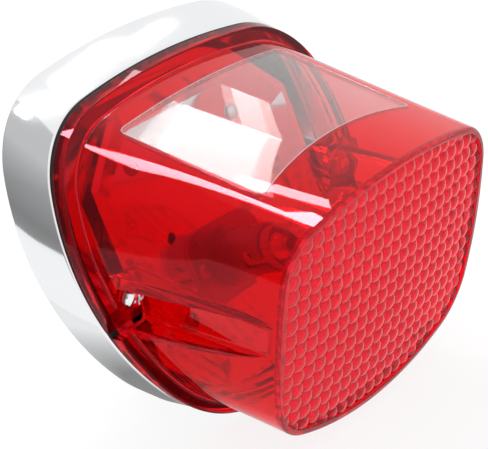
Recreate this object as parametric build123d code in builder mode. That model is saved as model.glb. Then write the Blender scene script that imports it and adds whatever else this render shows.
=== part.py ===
"""Fender-mounted motorcycle tail light: chromed housing, red lens with a clear top window,
reflector, bayonet lamp holder and two-filament bulb.

Frame: millimetres, +Z up, -Y towards the lens face, +X to the right of someone behind the
machine. The origin is the middle of the rear face of the mounting pad. That face leans, and the
housing and the lens are both drawn out of it along -Y, so that the lens face stands upright.
"""
from build123d import *
import os
from math import copysign, cos, radians, sin

os.makedirs("parts", exist_ok=True)

# ---------------------------------------------------------------- driving dimensions
mount_lean = 31.7          # degrees between the mounting face and the upright
base_width = 134.8         # housing outline, measured in its leaning plane
base_height = 116.2
base_crown = 248.0         # radius of the shallow arch along the top
base_side = 78.0           # radius of the bowed sides
base_side_height = 8.2     # the housing is widest this far above its middle
base_keel = 93.5           # radius of the bottom edge
base_top_corner = 33.5
base_low_corner = 42.0

pad_thickness = 1.8        # all thicknesses below are square to the mounting face
pad_inset = 3.2            # so that the rubber stays out of sight behind the chrome
pad_window_margin = 3.0    # the pad is cut away this far around the connector
pad_window_corner = 2.0
floor_thickness = 2.5
housing_depth = 13.8
housing_bulge = 0.6        # inset at half depth
housing_draft = 2.4        # inset at the front rim
housing_wall = 2.4

gasket_thickness = 1.0
gasket_inset = 0.5         # from the front rim of the housing
gasket_ring = 3.1

flange_thickness = 3.4
flange_inset = 0.2         # from the front rim of the housing
flange_draft = 0.3
flange_ledge = 4.6         # width of the flange outside the lens body
lens_wall = 2.4

face_depth = 79.1          # from the origin to the crown of the lens face, along Y
face_width = 102.0
face_top = 42.0            # above the origin
face_bottom = -39.0
face_crown = 153.5
face_side = 299.0
face_side_height = 13.0
face_keel = 108.5
face_top_corner = 16.0
face_low_corner = 18.4
face_dome = 575.0          # spherical radius of the lens face
face_wall = 2.8
bezel_width = 1.8
bezel_height = 0.7
bezel_reach = 8.0
face_edge_round = 1.2
dome_drop = 6.0            # more than the dome falls away at its corners

window_back = -6.0         # Y of the window's back corners
window_front = -57.0       # Y of its front corners
window_back_width = 76.0
window_front_width = 73.0
window_bow = 4.0           # the front edge bows back by this much
window_corner = 2.0
window_joint = 0.0         # the clear panel is moulded into the red one

screw_spacing = 104.0      # between the two lens screws
screw_height = -1.0
screw_shank = 4.2
screw_head = 8.0
screw_head_height = 2.6
screw_head_round = 0.6      # its edge's radius, as a share of the head's height
recess_length = 4.6
recess_width = 1.1
recess_depth = 1.5
screw_length = 14.0
screw_seat = 24.9          # depth of the seat under the screw heads, along Y
pocket_clearance = 0.4     # around the screw head, where it is let into the flange
channel_end = 73.0         # depth at which each screwdriver channel runs out of the lens side
channel_floor = (47.5, 52.0)    # its floor, from the middle plane, at the seat and at that end
channel_height = (15.2, 11.1)   # its width up and down at the same two places
channel_middle = (-2.6, 5.2)    # and the height of its middle
channel_corner = 2.2
boss_diameter = 9.0
boss_gap = 0.3              # between the boss and the lens pocket above it
insert_diameter = 6.0
insert_length = 8.0
screw_clearance = 0.25     # between shank and lens hole, on the radius
thread_clearance = 0.05

bolt_spacing = 60.0
bolt_height = 0.0          # along the leaning face
bolt_shank = 6.35
bolt_neck = 5.8            # the shank is necked down between the pad's rear face and the head
bolt_head_across = 11.1
bolt_head_height = 3.4     # low enough to pass under the reflector
bolt_reach = 14.0          # how far the shank stands out behind the pad
bolt_clearance = 0.3
washer_diameter = 14.0
washer_thickness = 1.2

reflector_thickness = 0.8
reflector_height = 9.4     # its back plate stands this far in front of the mounting face
reflector_back = (38.0, 34.0, -44.0)    # half width, top and bottom of the flat
reflector_front = (46.0, 46.0, -48.4)   # the same at its front edge
reflector_cut = 0.42       # share of the half width that each corner facet takes
reflector_lip = 0.6        # its front edge stays this far below the housing rim
standoff_spacing = (48.0, 50.0)
standoff_middle = -8.0
standoff_diameter = 6.5
reflector_screw = 2.6
reflector_screw_head = 5.4
reflector_screw_head_height = 1.8
reflector_vent = 3.0
reflector_vent_place = (-20.0, -8.0)

lamp_height = -22.0        # lamp axis below the origin, along the leaning face
socket_bore = 15.2
socket_wall = 0.8
socket_length = 21.5
socket_back = 9.0          # rear end of the shell, from the mounting face
socket_floor = 0.8
bracket_margin = 1.5       # beyond the rivet heads
bracket_height = 24.0
bracket_thickness = 1.2
bracket_collar = 3.0
rivet_gap = 0.9            # between a rivet's head and the bracket's collar
rivet_diameter = 3.0
rivet_head = 5.0
rivet_head_height = 1.0

contact_spacing = 5.6
insulator_thickness = 5.0
sleeve_diameter = 3.8
sleeve_bore = 2.6
sleeve_length = 8.6
button_shank = 2.4
button_head = 3.2
button_head_height = 1.0
button_travel = 2.5
contact_gap = 0.2
contact_room = 4.4         # length of each contact spring at rest
contact_wire = 0.35
contact_coils = 5

cap_clearance = 0.1        # between the bulb's cap and the holder
cap_length = 15.5
cap_wall = 0.5
pin_diameter = 2.0
pin_stand = 1.4            # the bayonet pins stand this far out of the cap
pin_height = 6.5           # above the cap's contact end
slot_clearance = 0.35
turn_angle = 20.0
slot_spread = 12.0         # degrees that a slot's foot runs past the pin's middle
seal_thickness = 1.6
solder_diameter = 2.8
solder_height = 0.7
glass_diameter = 26.0
glass_length = 36.0
glass_wall = 0.7
neck_length = 2.5          # the neck runs this far into the cap and as far out of it
stem_foot = 9.0
stem_neck = 3.4
stem_gap = 12.0            # from the top of the stem to the filaments
filament_height = 38.0     # above the cap's contact end
filament_length = 7.0
filament_spread = 4.0
filament_coil = 1.1
filament_wire = 0.22
filament_pitch = 0.66
support_wire = 0.5
support_foot = (0.85, 0.67)  # where the wires leave the stem, across and up

connector_size = (15.0, 8.0)
connector_height = 16.0    # its middle, along the leaning face
connector_flange = 1.2
connector_lip = 1.5
connector_depth = 4.7      # how far it stands in front of the floor
connector_clearance = 0.15
pin_pitch = 4.4
pin_width = 1.2
lead_diameter = 1.7
lead_bend = 5.0
lead_height = 7.9          # of the lead's middle line, from the mounting face

over = 1.0                 # how far a cutting shape runs past what it cuts

# ---------------------------------------------------------------- frame helpers
lean_cos = cos(radians(mount_lean))
lean_sin = sin(radians(mount_lean))
forward = Vector(0, -lean_cos, lean_sin)     # square to the mounting face, towards the lens


def drawn(height):
    """Leaning plane at this height, its origin carried along Y, the moulding direction."""
    return Plane(origin=(0, -height / lean_cos, 0), x_dir=(1, 0, 0), z_dir=forward)


def square(height):
    """The same plane with its origin carried square to the mounting face."""
    return Plane(origin=forward * height, x_dir=(1, 0, 0), z_dir=forward)


def upright(depth):
    """Upright plane facing the rear, this far from the origin along -Y."""
    return Plane.XZ.offset(depth)


def shield(plane, width, top, bottom, crown, side, side_height, keel, corners, inset):
    """Outline of four shallow arcs with rounded corners, moved inwards by inset."""
    with BuildSketch(plane) as outline:
        with Locations((0, top - crown)):
            Circle(crown - inset)
        with Locations((0, bottom + keel)):
            Circle(keel - inset, mode=Mode.INTERSECT)
        with Locations((side - width / 2, side_height)):
            Circle(side - inset, mode=Mode.INTERSECT)
        with Locations(Location((width / 2 - side, side_height, 0), (0, 0, 180))):
            Circle(side - inset, mode=Mode.INTERSECT)
        rows = outline.vertices().sort_by(Axis.Y)
        fillet(rows[-2:], corners[0] - inset)
        fillet(outline.vertices().sort_by(Axis.Y)[:2], corners[1] - inset)
    return outline.sketch


def base_outline(height, inset):
    return shield(drawn(height), base_width, base_height / 2, -base_height / 2, base_crown,
                  base_side, base_side_height, base_keel, (base_top_corner, base_low_corner), inset)


def face_outline(depth, inset):
    return shield(upright(depth), face_width, face_top, face_bottom, face_crown, face_side,
                  face_side_height, face_keel, (face_top_corner, face_low_corner), inset)


def finish(part, name):
    part.label = name
    export_step(part, f"parts/{name}.step")


# ---------------------------------------------------------------- levels
floor_back = pad_thickness
floor_front = floor_back + floor_thickness
rim = floor_back + housing_depth
gasket_front = rim + gasket_thickness
flange_front = gasket_front + flange_thickness
face_middle = (face_top + face_bottom) / 2
screw_x = screw_spacing / 2
bolt_places = [(-bolt_spacing / 2, bolt_height), (bolt_spacing / 2, bolt_height)]
boss_top = screw_seat - lens_wall - boss_gap
standoffs = [(x, standoff_middle + y)
             for x in (-standoff_spacing[0] / 2, standoff_spacing[0] / 2)
             for y in (-standoff_spacing[1] / 2, standoff_spacing[1] / 2)]
lamp = (0, lamp_height)
connector_x, connector_y = connector_size
socket_radius = socket_bore / 2 + socket_wall
cap_diameter = socket_bore - 2 * cap_clearance
rivet_spacing = 2 * (socket_radius + bracket_thickness + rivet_gap) + rivet_head
rivet_places = [(-rivet_spacing / 2, lamp_height), (rivet_spacing / 2, lamp_height)]

# ---------------------------------------------------------------- mounting pad
with BuildPart() as mounting_pad:
    loft([base_outline(0, pad_inset), base_outline(pad_thickness, pad_inset)])
    with BuildSketch(square(-over)):
        with Locations(bolt_places):
            Circle(bolt_shank / 2 + bolt_clearance)
        with Locations((0, connector_height)):
            RectangleRounded(connector_x + 2 * pad_window_margin, connector_y + 2 * pad_window_margin,
                             pad_window_corner)
    extrude(amount=pad_thickness + 2 * over, mode=Mode.SUBTRACT)
finish(mounting_pad.part, "mounting_pad")

# ---------------------------------------------------------------- housing
with BuildPart() as housing:
    loft([base_outline(floor_back, 0), base_outline(floor_back + housing_depth / 2, housing_bulge),
          base_outline(rim, housing_draft)])
    loft([base_outline(floor_front, housing_wall),
          base_outline(rim + over, housing_draft + housing_wall)], mode=Mode.SUBTRACT)
    with BuildSketch(upright(boss_top)):
        with Locations((-screw_x, screw_height), (screw_x, screw_height)):
            Circle(boss_diameter / 2)
    extrude(amount=-boss_top - floor_thickness)
    with BuildSketch(square(floor_front - over)):
        with Locations(standoffs):
            Circle(standoff_diameter / 2)
    extrude(amount=reflector_height - floor_front + over)
    split(bisect_by=square(floor_back), keep=Keep.TOP)
    with BuildSketch(upright(boss_top + over)):
        with Locations((-screw_x, screw_height), (screw_x, screw_height)):
            Circle(insert_diameter / 2)
    extrude(amount=-insert_length - over, mode=Mode.SUBTRACT)
    with BuildSketch(upright(boss_top + over)):
        with Locations((-screw_x, screw_height), (screw_x, screw_height)):
            Circle(screw_shank / 2 + screw_clearance)
    extrude(amount=-boss_top - over + floor_front, mode=Mode.SUBTRACT)
    with BuildSketch(square(floor_front + over / 2)):
        with Locations(standoffs):
            Circle(reflector_screw / 2)
    extrude(amount=reflector_height, mode=Mode.SUBTRACT)
    with BuildSketch(square(floor_back - over)):
        with Locations(bolt_places):
            Circle(bolt_shank / 2 + bolt_clearance)
        with Locations((0, connector_height)):
            Rectangle(connector_x + 2 * connector_clearance, connector_y + 2 * connector_clearance)
    extrude(amount=floor_thickness + 2 * over, mode=Mode.SUBTRACT)
finish(housing.part, "housing")

# ---------------------------------------------------------------- mounting bolts and washers
with BuildPart() as mounting_bolts:
    with BuildSketch(square(floor_front + washer_thickness)):
        with Locations(bolt_places):
            RegularPolygon(bolt_head_across / 2, 6, major_radius=False)
    extrude(amount=bolt_head_height)
    with BuildSketch(square(-bolt_reach)):
        with Locations(bolt_places):
            Circle(bolt_shank / 2)
    extrude(amount=bolt_reach)
    with BuildSketch(square(-over)):
        with Locations(bolt_places):
            Circle(bolt_neck / 2)
    extrude(amount=floor_front + washer_thickness + 2 * over)
finish(mounting_bolts.part, "mounting_bolts")

with BuildPart() as mounting_washers:
    with BuildSketch(square(floor_front)):
        with Locations(bolt_places):
            Circle(washer_diameter / 2)
            Circle(bolt_shank / 2 + bolt_clearance, mode=Mode.SUBTRACT)
    extrude(amount=washer_thickness)
finish(mounting_washers.part, "mounting_washers")

# ---------------------------------------------------------------- gasket and lens
with BuildPart() as lens_gasket:
    loft([base_outline(rim, housing_draft + gasket_inset),
          base_outline(gasket_front, housing_draft + gasket_inset)])
    loft([base_outline(rim - over, housing_draft + gasket_inset + gasket_ring),
          base_outline(gasket_front + over, housing_draft + gasket_inset + gasket_ring)],
         mode=Mode.SUBTRACT)
finish(lens_gasket.part, "lens_gasket")

body_inset = housing_draft + flange_inset + flange_ledge
face_reach = face_depth + 3 * over           # the body is lofted past the dome, then cut by it


def channel(wall):
    """Screwdriver channel on each side: its flat floor runs out at the lens side. wall is added to it."""
    back_y, front_y = (wall - screw_seat, -channel_end)
    back_x, front_x = (channel_floor[0] - wall, channel_floor[1] - wall)
    back_z, front_z = (channel_height[0] / 2 + wall, channel_height[1] / 2 + wall)
    with BuildPart() as cut:
        with BuildSketch():
            Polygon((back_x, back_y), (front_x, front_y), (base_width, front_y), (base_width, back_y),
                    align=None)
            mirror(about=Plane.YZ)
        extrude(amount=base_height, both=True)
        with BuildSketch(Plane.YZ):
            Polygon((back_y, channel_middle[0] - back_z), (back_y, channel_middle[0] + back_z),
                    (front_y, channel_middle[1] + front_z), (front_y, channel_middle[1] - front_z),
                    align=None)
        extrude(amount=2 * base_width, both=True, mode=Mode.INTERSECT)
        floors = cut.faces().sort_by(lambda face: abs(face.center().X))[:2]
        fillet([edge for floor in floors for edge in floor.edges().sort_by(SortBy.LENGTH)[-2:]],
               channel_corner + wall)
    return cut.part


def lens_body(back, inset, wall, channel_wall, edge_round):
    """Solid body from the leaning flange to the domed face, with the two channels cut out."""
    with BuildPart() as body:
        loft([base_outline(back, body_inset + inset), face_outline(face_reach, inset)], ruled=True)
        with Locations((0, face_dome - face_depth, face_middle)):
            Sphere(face_dome - wall, mode=Mode.INTERSECT)
        if edge_round:
            rim_edges = body.edges().filter_by_position(Axis.Y, -face_depth, -face_depth + dome_drop)
            fillet(rim_edges, edge_round)
        add(channel(channel_wall), mode=Mode.SUBTRACT)
    return body.part


def window_area(clearance):
    """Tall block over the clear window: straight tapering sides and a front edge that bows back."""
    back_x = window_back_width / 2 - clearance
    front_x = window_front_width / 2 - clearance
    back_y = window_back - clearance
    front_y = window_front + clearance
    with BuildPart() as block:
        with BuildSketch(Plane.XY.offset(face_middle)) as plan:
            with BuildLine():
                Polyline((-front_x, front_y), (-back_x, back_y), (back_x, back_y), (front_x, front_y))
                ThreePointArc((front_x, front_y), (0, front_y + window_bow), (-front_x, front_y))
            make_face()
            fillet(plan.vertices(), window_corner - clearance)
        extrude(amount=base_height / 2)
    return block.part


with BuildPart() as bezel_recess:
    with BuildSketch(upright(face_depth - bezel_reach)):
        add(shield(Plane.XY, face_width, face_top, face_bottom, face_crown, face_side,
                   face_side_height, face_keel, (face_top_corner, face_low_corner), bezel_width))
    extrude(amount=2 * bezel_reach)
    with Locations((0, face_dome - face_depth, face_middle)):
        Sphere(face_dome - bezel_height, mode=Mode.SUBTRACT)

with BuildPart() as lens_shell:
    add(lens_body(gasket_front, 0, 0, 0, face_edge_round))
    loft([base_outline(gasket_front, housing_draft + flange_inset),
          base_outline(flange_front, housing_draft + flange_inset + flange_draft)])
    with BuildSketch(upright(screw_seat)):
        with Locations((-screw_x, screw_height), (screw_x, screw_height)):
            Circle(screw_head / 2 + pocket_clearance)
    extrude(amount=flange_thickness, mode=Mode.SUBTRACT)
    add(bezel_recess.part, mode=Mode.SUBTRACT)
    add(lens_body(gasket_front - over, lens_wall, face_wall, lens_wall, 0), mode=Mode.SUBTRACT)
    with BuildSketch(upright(screw_seat + over)):
        with Locations((-screw_x, screw_height), (screw_x, screw_height)):
            Circle(screw_shank / 2 + screw_clearance)
    extrude(amount=-lens_wall - 2 * over, mode=Mode.SUBTRACT)

with BuildPart() as lens:
    add(lens_shell.part)
    add(window_area(0), mode=Mode.SUBTRACT)
finish(lens.part, "lens")

with BuildPart() as tag_window:
    add(lens_shell.part)
    add(window_area(window_joint), mode=Mode.INTERSECT)
finish(tag_window.part, "tag_window")

# ---------------------------------------------------------------- lens screws and their inserts
for name, x in (("lens_screw_left", -screw_x), ("lens_screw_right", screw_x)):
    with BuildPart() as lens_screw:
        with BuildSketch(upright(screw_seat)):
            with Locations((x, screw_height)):
                Circle(screw_head / 2)
        extrude(amount=screw_head_height)
        fillet(lens_screw.faces().sort_by(Axis.Y)[0].edges(), screw_head_height * screw_head_round)
        with BuildSketch(upright(screw_seat + screw_head_height - recess_depth)):
            with Locations((x, screw_height)):
                Rectangle(recess_length, recess_width)
                Rectangle(recess_width, recess_length)
        extrude(amount=recess_depth + over, mode=Mode.SUBTRACT)
        with BuildSketch(upright(screw_seat - screw_length)):
            with Locations((x, screw_height)):
                Circle(screw_shank / 2)
        extrude(amount=screw_length)
    finish(lens_screw.part, name)

with BuildPart() as screw_inserts:
    with BuildSketch(upright(boss_top)):
        with Locations((-screw_x, screw_height), (screw_x, screw_height)):
            Circle(insert_diameter / 2)
            Circle(screw_shank / 2 + thread_clearance, mode=Mode.SUBTRACT)
    extrude(amount=-insert_length)
finish(screw_inserts.part, "screw_inserts")

# ---------------------------------------------------------------- reflector
def facets(height, size, inset):
    """Eight-sided outline, so that the flaring sides meet in flat facets."""
    half, top, bottom = (size[0] - inset, size[1] - inset, size[2] + inset)
    cut = half * reflector_cut
    with BuildSketch(drawn(height)) as outline:
        Polygon((-half + cut, top), (half - cut, top), (half, top - cut), (half, bottom + cut),
                (half - cut, bottom), (-half + cut, bottom), (-half, bottom + cut),
                (-half, top - cut), align=None)
    return outline.sketch


reflector_rim = rim - reflector_lip
plate_front = reflector_height + reflector_thickness
with BuildPart() as reflector:
    loft([facets(reflector_height, reflector_back, 0), facets(reflector_rim, reflector_front, 0)],
         ruled=True)
    loft([facets(plate_front, reflector_back, reflector_thickness),
          facets(reflector_rim + reflector_thickness, reflector_front, reflector_thickness)],
         ruled=True, mode=Mode.SUBTRACT)
    with BuildSketch(square(reflector_height - over)):
        with Locations(lamp):
            Circle(socket_radius + slot_clearance)
        with Locations(standoffs):
            Circle(reflector_screw / 2 + thread_clearance)
        with Locations(reflector_vent_place):
            Circle(reflector_vent / 2)
        with Locations(rivet_places):
            Circle(rivet_diameter / 2)
    extrude(amount=reflector_thickness + 2 * over, mode=Mode.SUBTRACT)
finish(reflector.part, "reflector")

with BuildPart() as reflector_screws:
    with BuildSketch(square(plate_front)):
        with Locations(standoffs):
            Circle(reflector_screw_head / 2)
    extrude(amount=reflector_screw_head_height)
    with BuildSketch(square(floor_front + over)):
        with Locations(standoffs):
            Circle(reflector_screw / 2)
    extrude(amount=plate_front - floor_front - over)
finish(reflector_screws.part, "reflector_screws")

# ---------------------------------------------------------------- lamp holder
bracket_front = plate_front + bracket_thickness
with BuildPart() as socket_bracket:
    with BuildSketch(square(plate_front)):
        with Locations(lamp):
            RectangleRounded(rivet_spacing + rivet_head + 2 * bracket_margin, bracket_height,
                             bracket_height / 4)
    extrude(amount=bracket_thickness)
    with BuildSketch(square(bracket_front)):
        with Locations(lamp):
            Circle(socket_radius + bracket_thickness)
    extrude(amount=bracket_collar)
    with BuildSketch(square(plate_front - over)):
        with Locations(lamp):
            Circle(socket_radius)
        with Locations(rivet_places):
            Circle(rivet_diameter / 2)
    extrude(amount=bracket_thickness + bracket_collar + 2 * over, mode=Mode.SUBTRACT)
finish(socket_bracket.part, "socket_bracket")

with BuildPart() as socket_rivets:
    for head_back in (reflector_height - rivet_head_height, bracket_front):
        with BuildSketch(square(head_back)):
            with Locations(rivet_places):
                Circle(rivet_head / 2)
        extrude(amount=rivet_head_height)
    with BuildSketch(square(reflector_height)):
        with Locations(rivet_places):
            Circle(rivet_diameter / 2)
    extrude(amount=bracket_front - reflector_height)
finish(socket_rivets.part, "socket_rivets")

insulator_back = socket_back + socket_floor
insulator_front = insulator_back + insulator_thickness
button_back = insulator_front + button_travel + contact_gap
contact_face = button_back + button_head_height
cap_back = contact_face + solder_height
pin_level = cap_back + pin_height
slot_half = pin_diameter / 2 + slot_clearance
contacts = [(-contact_spacing / 2, lamp_height), (contact_spacing / 2, lamp_height)]
lamp_axis = Axis(square(0).from_local_coords(Vector(0, lamp_height, 0)), forward)


def lamp_side(angle):
    """Plane through the lamp axis, turned about it; its X runs outwards and its Y forwards."""
    out = Vector(1, 0, 0).rotate(Axis((0, 0, 0), forward), angle)
    return Plane(origin=lamp_axis.position, x_dir=out, z_dir=out.cross(forward))


with BuildPart() as socket_shell:
    with BuildSketch(square(socket_back)):
        with Locations(lamp):
            Circle(socket_radius)
    extrude(amount=socket_length)
    with BuildSketch(square(insulator_back)):
        with Locations(lamp):
            Circle(socket_bore / 2)
    extrude(amount=socket_length, mode=Mode.SUBTRACT)
    with BuildSketch(square(socket_back - over)):
        with Locations(lamp):
            Circle(socket_bore / 2 - 2 * socket_wall)
    extrude(amount=socket_floor + 2 * over, mode=Mode.SUBTRACT)
    for half_turn in (0, 180):
        # the foot of each slot, which the pin sweeps when the bulb is pressed and turned
        with BuildSketch(lamp_side(half_turn - slot_spread)):
            with Locations((socket_radius, pin_level - button_travel / 2)):
                Rectangle(4 * socket_wall, button_travel + 2 * slot_half)
        revolve(axis=lamp_axis, revolution_arc=turn_angle + 2 * slot_spread, mode=Mode.SUBTRACT)
        # the straight entry, from the front end of the shell to the far end of the foot
        with BuildSketch(lamp_side(half_turn + turn_angle)):
            with Locations((socket_radius, (pin_level + socket_back + socket_length + over) / 2)):
                Rectangle(4 * socket_wall, socket_back + socket_length + over - pin_level)
        extrude(amount=slot_half, both=True, mode=Mode.SUBTRACT)
finish(socket_shell.part, "socket_shell")

with BuildPart() as contact_insulator:
    with BuildSketch(square(insulator_back)):
        with Locations(lamp):
            Circle(socket_bore / 2)
        with Locations(contacts):
            Circle(sleeve_diameter / 2, mode=Mode.SUBTRACT)
    extrude(amount=insulator_thickness)
finish(contact_insulator.part, "contact_insulator")

sleeve_back = insulator_front - sleeve_length
sleeve_floor = sleeve_back + socket_floor
with BuildPart() as contact_sleeves:
    with BuildSketch(square(sleeve_back)):
        with Locations(contacts):
            Circle(sleeve_diameter / 2)
    extrude(amount=sleeve_length)
    with BuildSketch(square(sleeve_floor)):
        with Locations(contacts):
            Circle(sleeve_bore / 2)
    extrude(amount=sleeve_length, mode=Mode.SUBTRACT)
finish(contact_sleeves.part, "contact_sleeves")

shank_back = sleeve_floor + contact_room
with BuildPart() as contact_buttons:
    with BuildSketch(square(shank_back)):
        with Locations(contacts):
            Circle(button_shank / 2)
    extrude(amount=button_back - shank_back)
    with BuildSketch(square(button_back)):
        with Locations(contacts):
            Circle(button_head / 2)
    extrude(amount=button_head_height)
finish(contact_buttons.part, "contact_buttons")

contact_pitch = (contact_room - contact_wire) / contact_coils
with BuildPart() as contact_springs:
    for place in contacts:
        start = square(sleeve_floor + contact_wire / 2).from_local_coords(Vector(*place, 0))
        with BuildLine():
            coil = Helix(contact_pitch, contact_room - contact_wire, sleeve_bore / 2 - contact_wire,
                         center=start, direction=forward)
        with BuildSketch(Plane(origin=coil @ 0, z_dir=coil % 0)):
            Circle(contact_wire / 2)
        sweep(path=coil)
finish(contact_springs.part, "contact_springs")

# ---------------------------------------------------------------- bulb
cap_front = cap_back + cap_length
with BuildPart() as bulb_cap:
    with BuildSketch(square(cap_back)):
        with Locations(lamp):
            Circle(cap_diameter / 2)
            Circle(cap_diameter / 2 - cap_wall, mode=Mode.SUBTRACT)
    extrude(amount=cap_length)
finish(bulb_cap.part, "bulb_cap")

with BuildPart() as bulb_pins:
    for half_turn in (0, 180):
        side_plane = lamp_side(half_turn)
        with BuildSketch(Plane(origin=side_plane.from_local_coords(Vector(0, pin_level, 0)),
                               z_dir=side_plane.x_dir)):
            Circle(pin_diameter / 2)
        extrude(amount=cap_diameter / 2 + pin_stand)
    with BuildSketch(square(pin_level - pin_diameter)):
        with Locations(lamp):
            Circle(cap_diameter / 2)
    extrude(amount=2 * pin_diameter, mode=Mode.SUBTRACT)
finish(bulb_pins.part, "bulb_pins")

with BuildPart() as bulb_seal:
    with BuildSketch(square(cap_back)):
        with Locations(lamp):
            Circle(cap_diameter / 2 - cap_wall)
    extrude(amount=seal_thickness)
finish(bulb_seal.part, "bulb_seal")

with BuildPart() as bulb_contacts:
    with BuildSketch(square(contact_face)):
        with Locations(contacts):
            Circle(solder_diameter / 2)
    extrude(amount=solder_height)
finish(bulb_contacts.part, "bulb_contacts")

glass_back = cap_front - neck_length
globe_middle = cap_front + glass_length - glass_diameter / 2
with BuildPart() as bulb_glass:
    for wall, mode in ((0, Mode.ADD), (glass_wall, Mode.SUBTRACT)):
        globe = glass_diameter / 2 - wall
        neck = cap_diameter / 2 - cap_wall - wall
        with BuildSketch(lamp_side(0)):
            with BuildLine():
                Polyline((neck, cap_front + neck_length), (neck, glass_back + wall),
                         (0, glass_back + wall), (0, globe_middle + globe))
                ThreePointArc((0, globe_middle + globe), (globe * sin(radians(45)),
                              globe_middle + globe * cos(radians(45))), (globe, globe_middle))
                Spline((globe, globe_middle), (neck, cap_front + neck_length),
                       tangents=((0, -1), (0, -1)))
            make_face()
        revolve(axis=lamp_axis, mode=mode)
finish(bulb_glass.part, "bulb_glass")

stem_back = glass_back + glass_wall
stem_top = cap_back + filament_height - stem_gap
stem_waist = (stem_back + stem_top) / 2
with BuildPart() as bulb_stem:
    with BuildSketch(lamp_side(0)):
        with BuildLine():
            Polyline((0, stem_top), (0, stem_back), (stem_foot / 2, stem_back))
            Spline((stem_foot / 2, stem_back), (stem_neck / 2, stem_waist), tangents=((0, 1), (0, 1)))
            Polyline((stem_neck / 2, stem_waist), (stem_neck / 2, stem_top), (0, stem_top))
        make_face()
    revolve(axis=lamp_axis)
finish(bulb_stem.part, "bulb_stem")

filament_level = cap_back + filament_height
filaments = (("filament_tail", -filament_spread / 2), ("filament_brake", filament_spread / 2))
with BuildPart() as filament_supports:
    for side in (-1, 1):
        for name, offset in filaments:
            foot = square(stem_top).from_local_coords(Vector(side * support_foot[0],
                   lamp_height + copysign(support_foot[1], offset), 0))
            tip = square(filament_level).from_local_coords(Vector(side * filament_length / 2,
                  lamp_height + offset, 0))
            with BuildSketch(Plane(origin=foot, z_dir=tip - foot)):
                Circle(support_wire / 2)
            extrude(amount=(tip - foot).length - filament_coil / 2)
    split(bisect_by=square(stem_top), keep=Keep.TOP)
finish(filament_supports.part, "filament_supports")

filament_turns = round(filament_length / filament_pitch)
for name, offset in filaments:
    with BuildPart() as filament:
        ends = [square(filament_level).from_local_coords(Vector(side * filament_length / 2,
                lamp_height + offset, 0)) for side in (-1, 1)]
        with BuildLine():
            coil = Helix(filament_length / filament_turns, filament_length,
                         filament_coil / 2 - filament_wire / 2, center=ends[0], direction=(1, 0, 0))
        with BuildSketch(Plane(origin=coil @ 0, z_dir=coil % 0)):
            Circle(filament_wire / 2)
        sweep(path=coil)
    finish(filament.part, name)

# ---------------------------------------------------------------- connector and leads
connector_back = floor_back - connector_lip
connector_front = floor_front + connector_depth
pocket_floor = floor_front + connector_flange
pin_places = [(x * pin_pitch, connector_height) for x in (-1, 0, 1)]
with BuildPart() as wire_connector:
    with BuildSketch(square(connector_back)):
        with Locations((0, connector_height)):
            Rectangle(connector_x, connector_y)
    extrude(amount=connector_front - connector_back)
    with BuildSketch(square(floor_front)):
        with Locations((0, connector_height)):
            Rectangle(connector_x + 2 * connector_flange, connector_y + 2 * connector_flange)
    extrude(amount=connector_flange)
    with BuildSketch(square(connector_back)):
        with Locations(pin_places):
            Rectangle(pin_pitch - pin_width, connector_y - 2 * pin_width)
    extrude(amount=pocket_floor - connector_back, mode=Mode.SUBTRACT)
finish(wire_connector.part, "wire_connector")

with BuildPart() as connector_pins:
    with BuildSketch(square(connector_back + connector_clearance)):
        with Locations(pin_places):
            Rectangle(pin_width, 2 * pin_width)
    extrude(amount=pocket_floor - connector_back - connector_clearance)
finish(connector_pins.part, "connector_pins")

# each lead runs up the back of the reflector, from its terminal to the connector's lower side
connector_side = connector_height - connector_y / 2
sleeve_side = lamp_height + sleeve_diameter / 2
lead_routes = (
    ("lead_tail", [(-contact_spacing / 2, sleeve_side), (-contact_spacing / 2, -13.0),
                   (-6.5, -3.0), (-pin_pitch, 5.0), (-pin_pitch, connector_side)]),
    ("lead_ground", [(0, lamp_height + socket_radius - socket_wall), (0, -9.0), (-1.2, -1.0),
                     (0, 6.0), (0, connector_side)]),
    ("lead_brake", [(contact_spacing / 2, sleeve_side), (contact_spacing / 2, -13.0),
                    (6.0, -2.0), (pin_pitch, 6.0), (pin_pitch, connector_side)]),
)
for name, route in lead_routes:
    with BuildPart() as lead:
        with BuildLine(square(lead_height)):
            path = FilletPolyline(*route, radius=lead_bend)
        with BuildSketch(Plane(origin=path @ 0, z_dir=path % 0)):
            Circle(lead_diameter / 2)
        sweep(path=path)
    finish(lead.part, name)
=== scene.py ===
"""Motorcycle tail light: chromed housing, red acrylic lens with a clear top window, and its lamp."""
from math import cos, pi, radians, sin

import bmesh
import bpy
import numpy as np
from mathutils import Matrix, Vector


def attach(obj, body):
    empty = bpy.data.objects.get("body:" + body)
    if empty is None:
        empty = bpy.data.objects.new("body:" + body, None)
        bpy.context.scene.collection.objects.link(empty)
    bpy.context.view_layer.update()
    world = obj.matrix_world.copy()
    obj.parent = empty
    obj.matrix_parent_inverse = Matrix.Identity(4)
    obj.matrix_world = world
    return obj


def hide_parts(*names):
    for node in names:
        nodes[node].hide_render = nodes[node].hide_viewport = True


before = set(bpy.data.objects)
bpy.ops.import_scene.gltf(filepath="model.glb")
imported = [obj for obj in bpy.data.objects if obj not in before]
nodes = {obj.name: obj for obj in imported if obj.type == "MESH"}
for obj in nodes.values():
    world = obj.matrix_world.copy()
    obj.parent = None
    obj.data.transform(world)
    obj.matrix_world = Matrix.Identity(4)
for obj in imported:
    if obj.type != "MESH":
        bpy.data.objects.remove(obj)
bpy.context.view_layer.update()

# ---------------------------------------------------------------- camera
# The left side, the clear top window and the lens face, seen through a long lens from a little
# above. The camera is rolled slightly, as a hand-held product shot is.
camera_aim = Vector((-0.01631, -0.0365, 0.0119))
camera_turn = radians(-53.84)
camera_height = radians(31.08)
camera_roll = radians(3.40)
camera_distance = 0.49512
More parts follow.
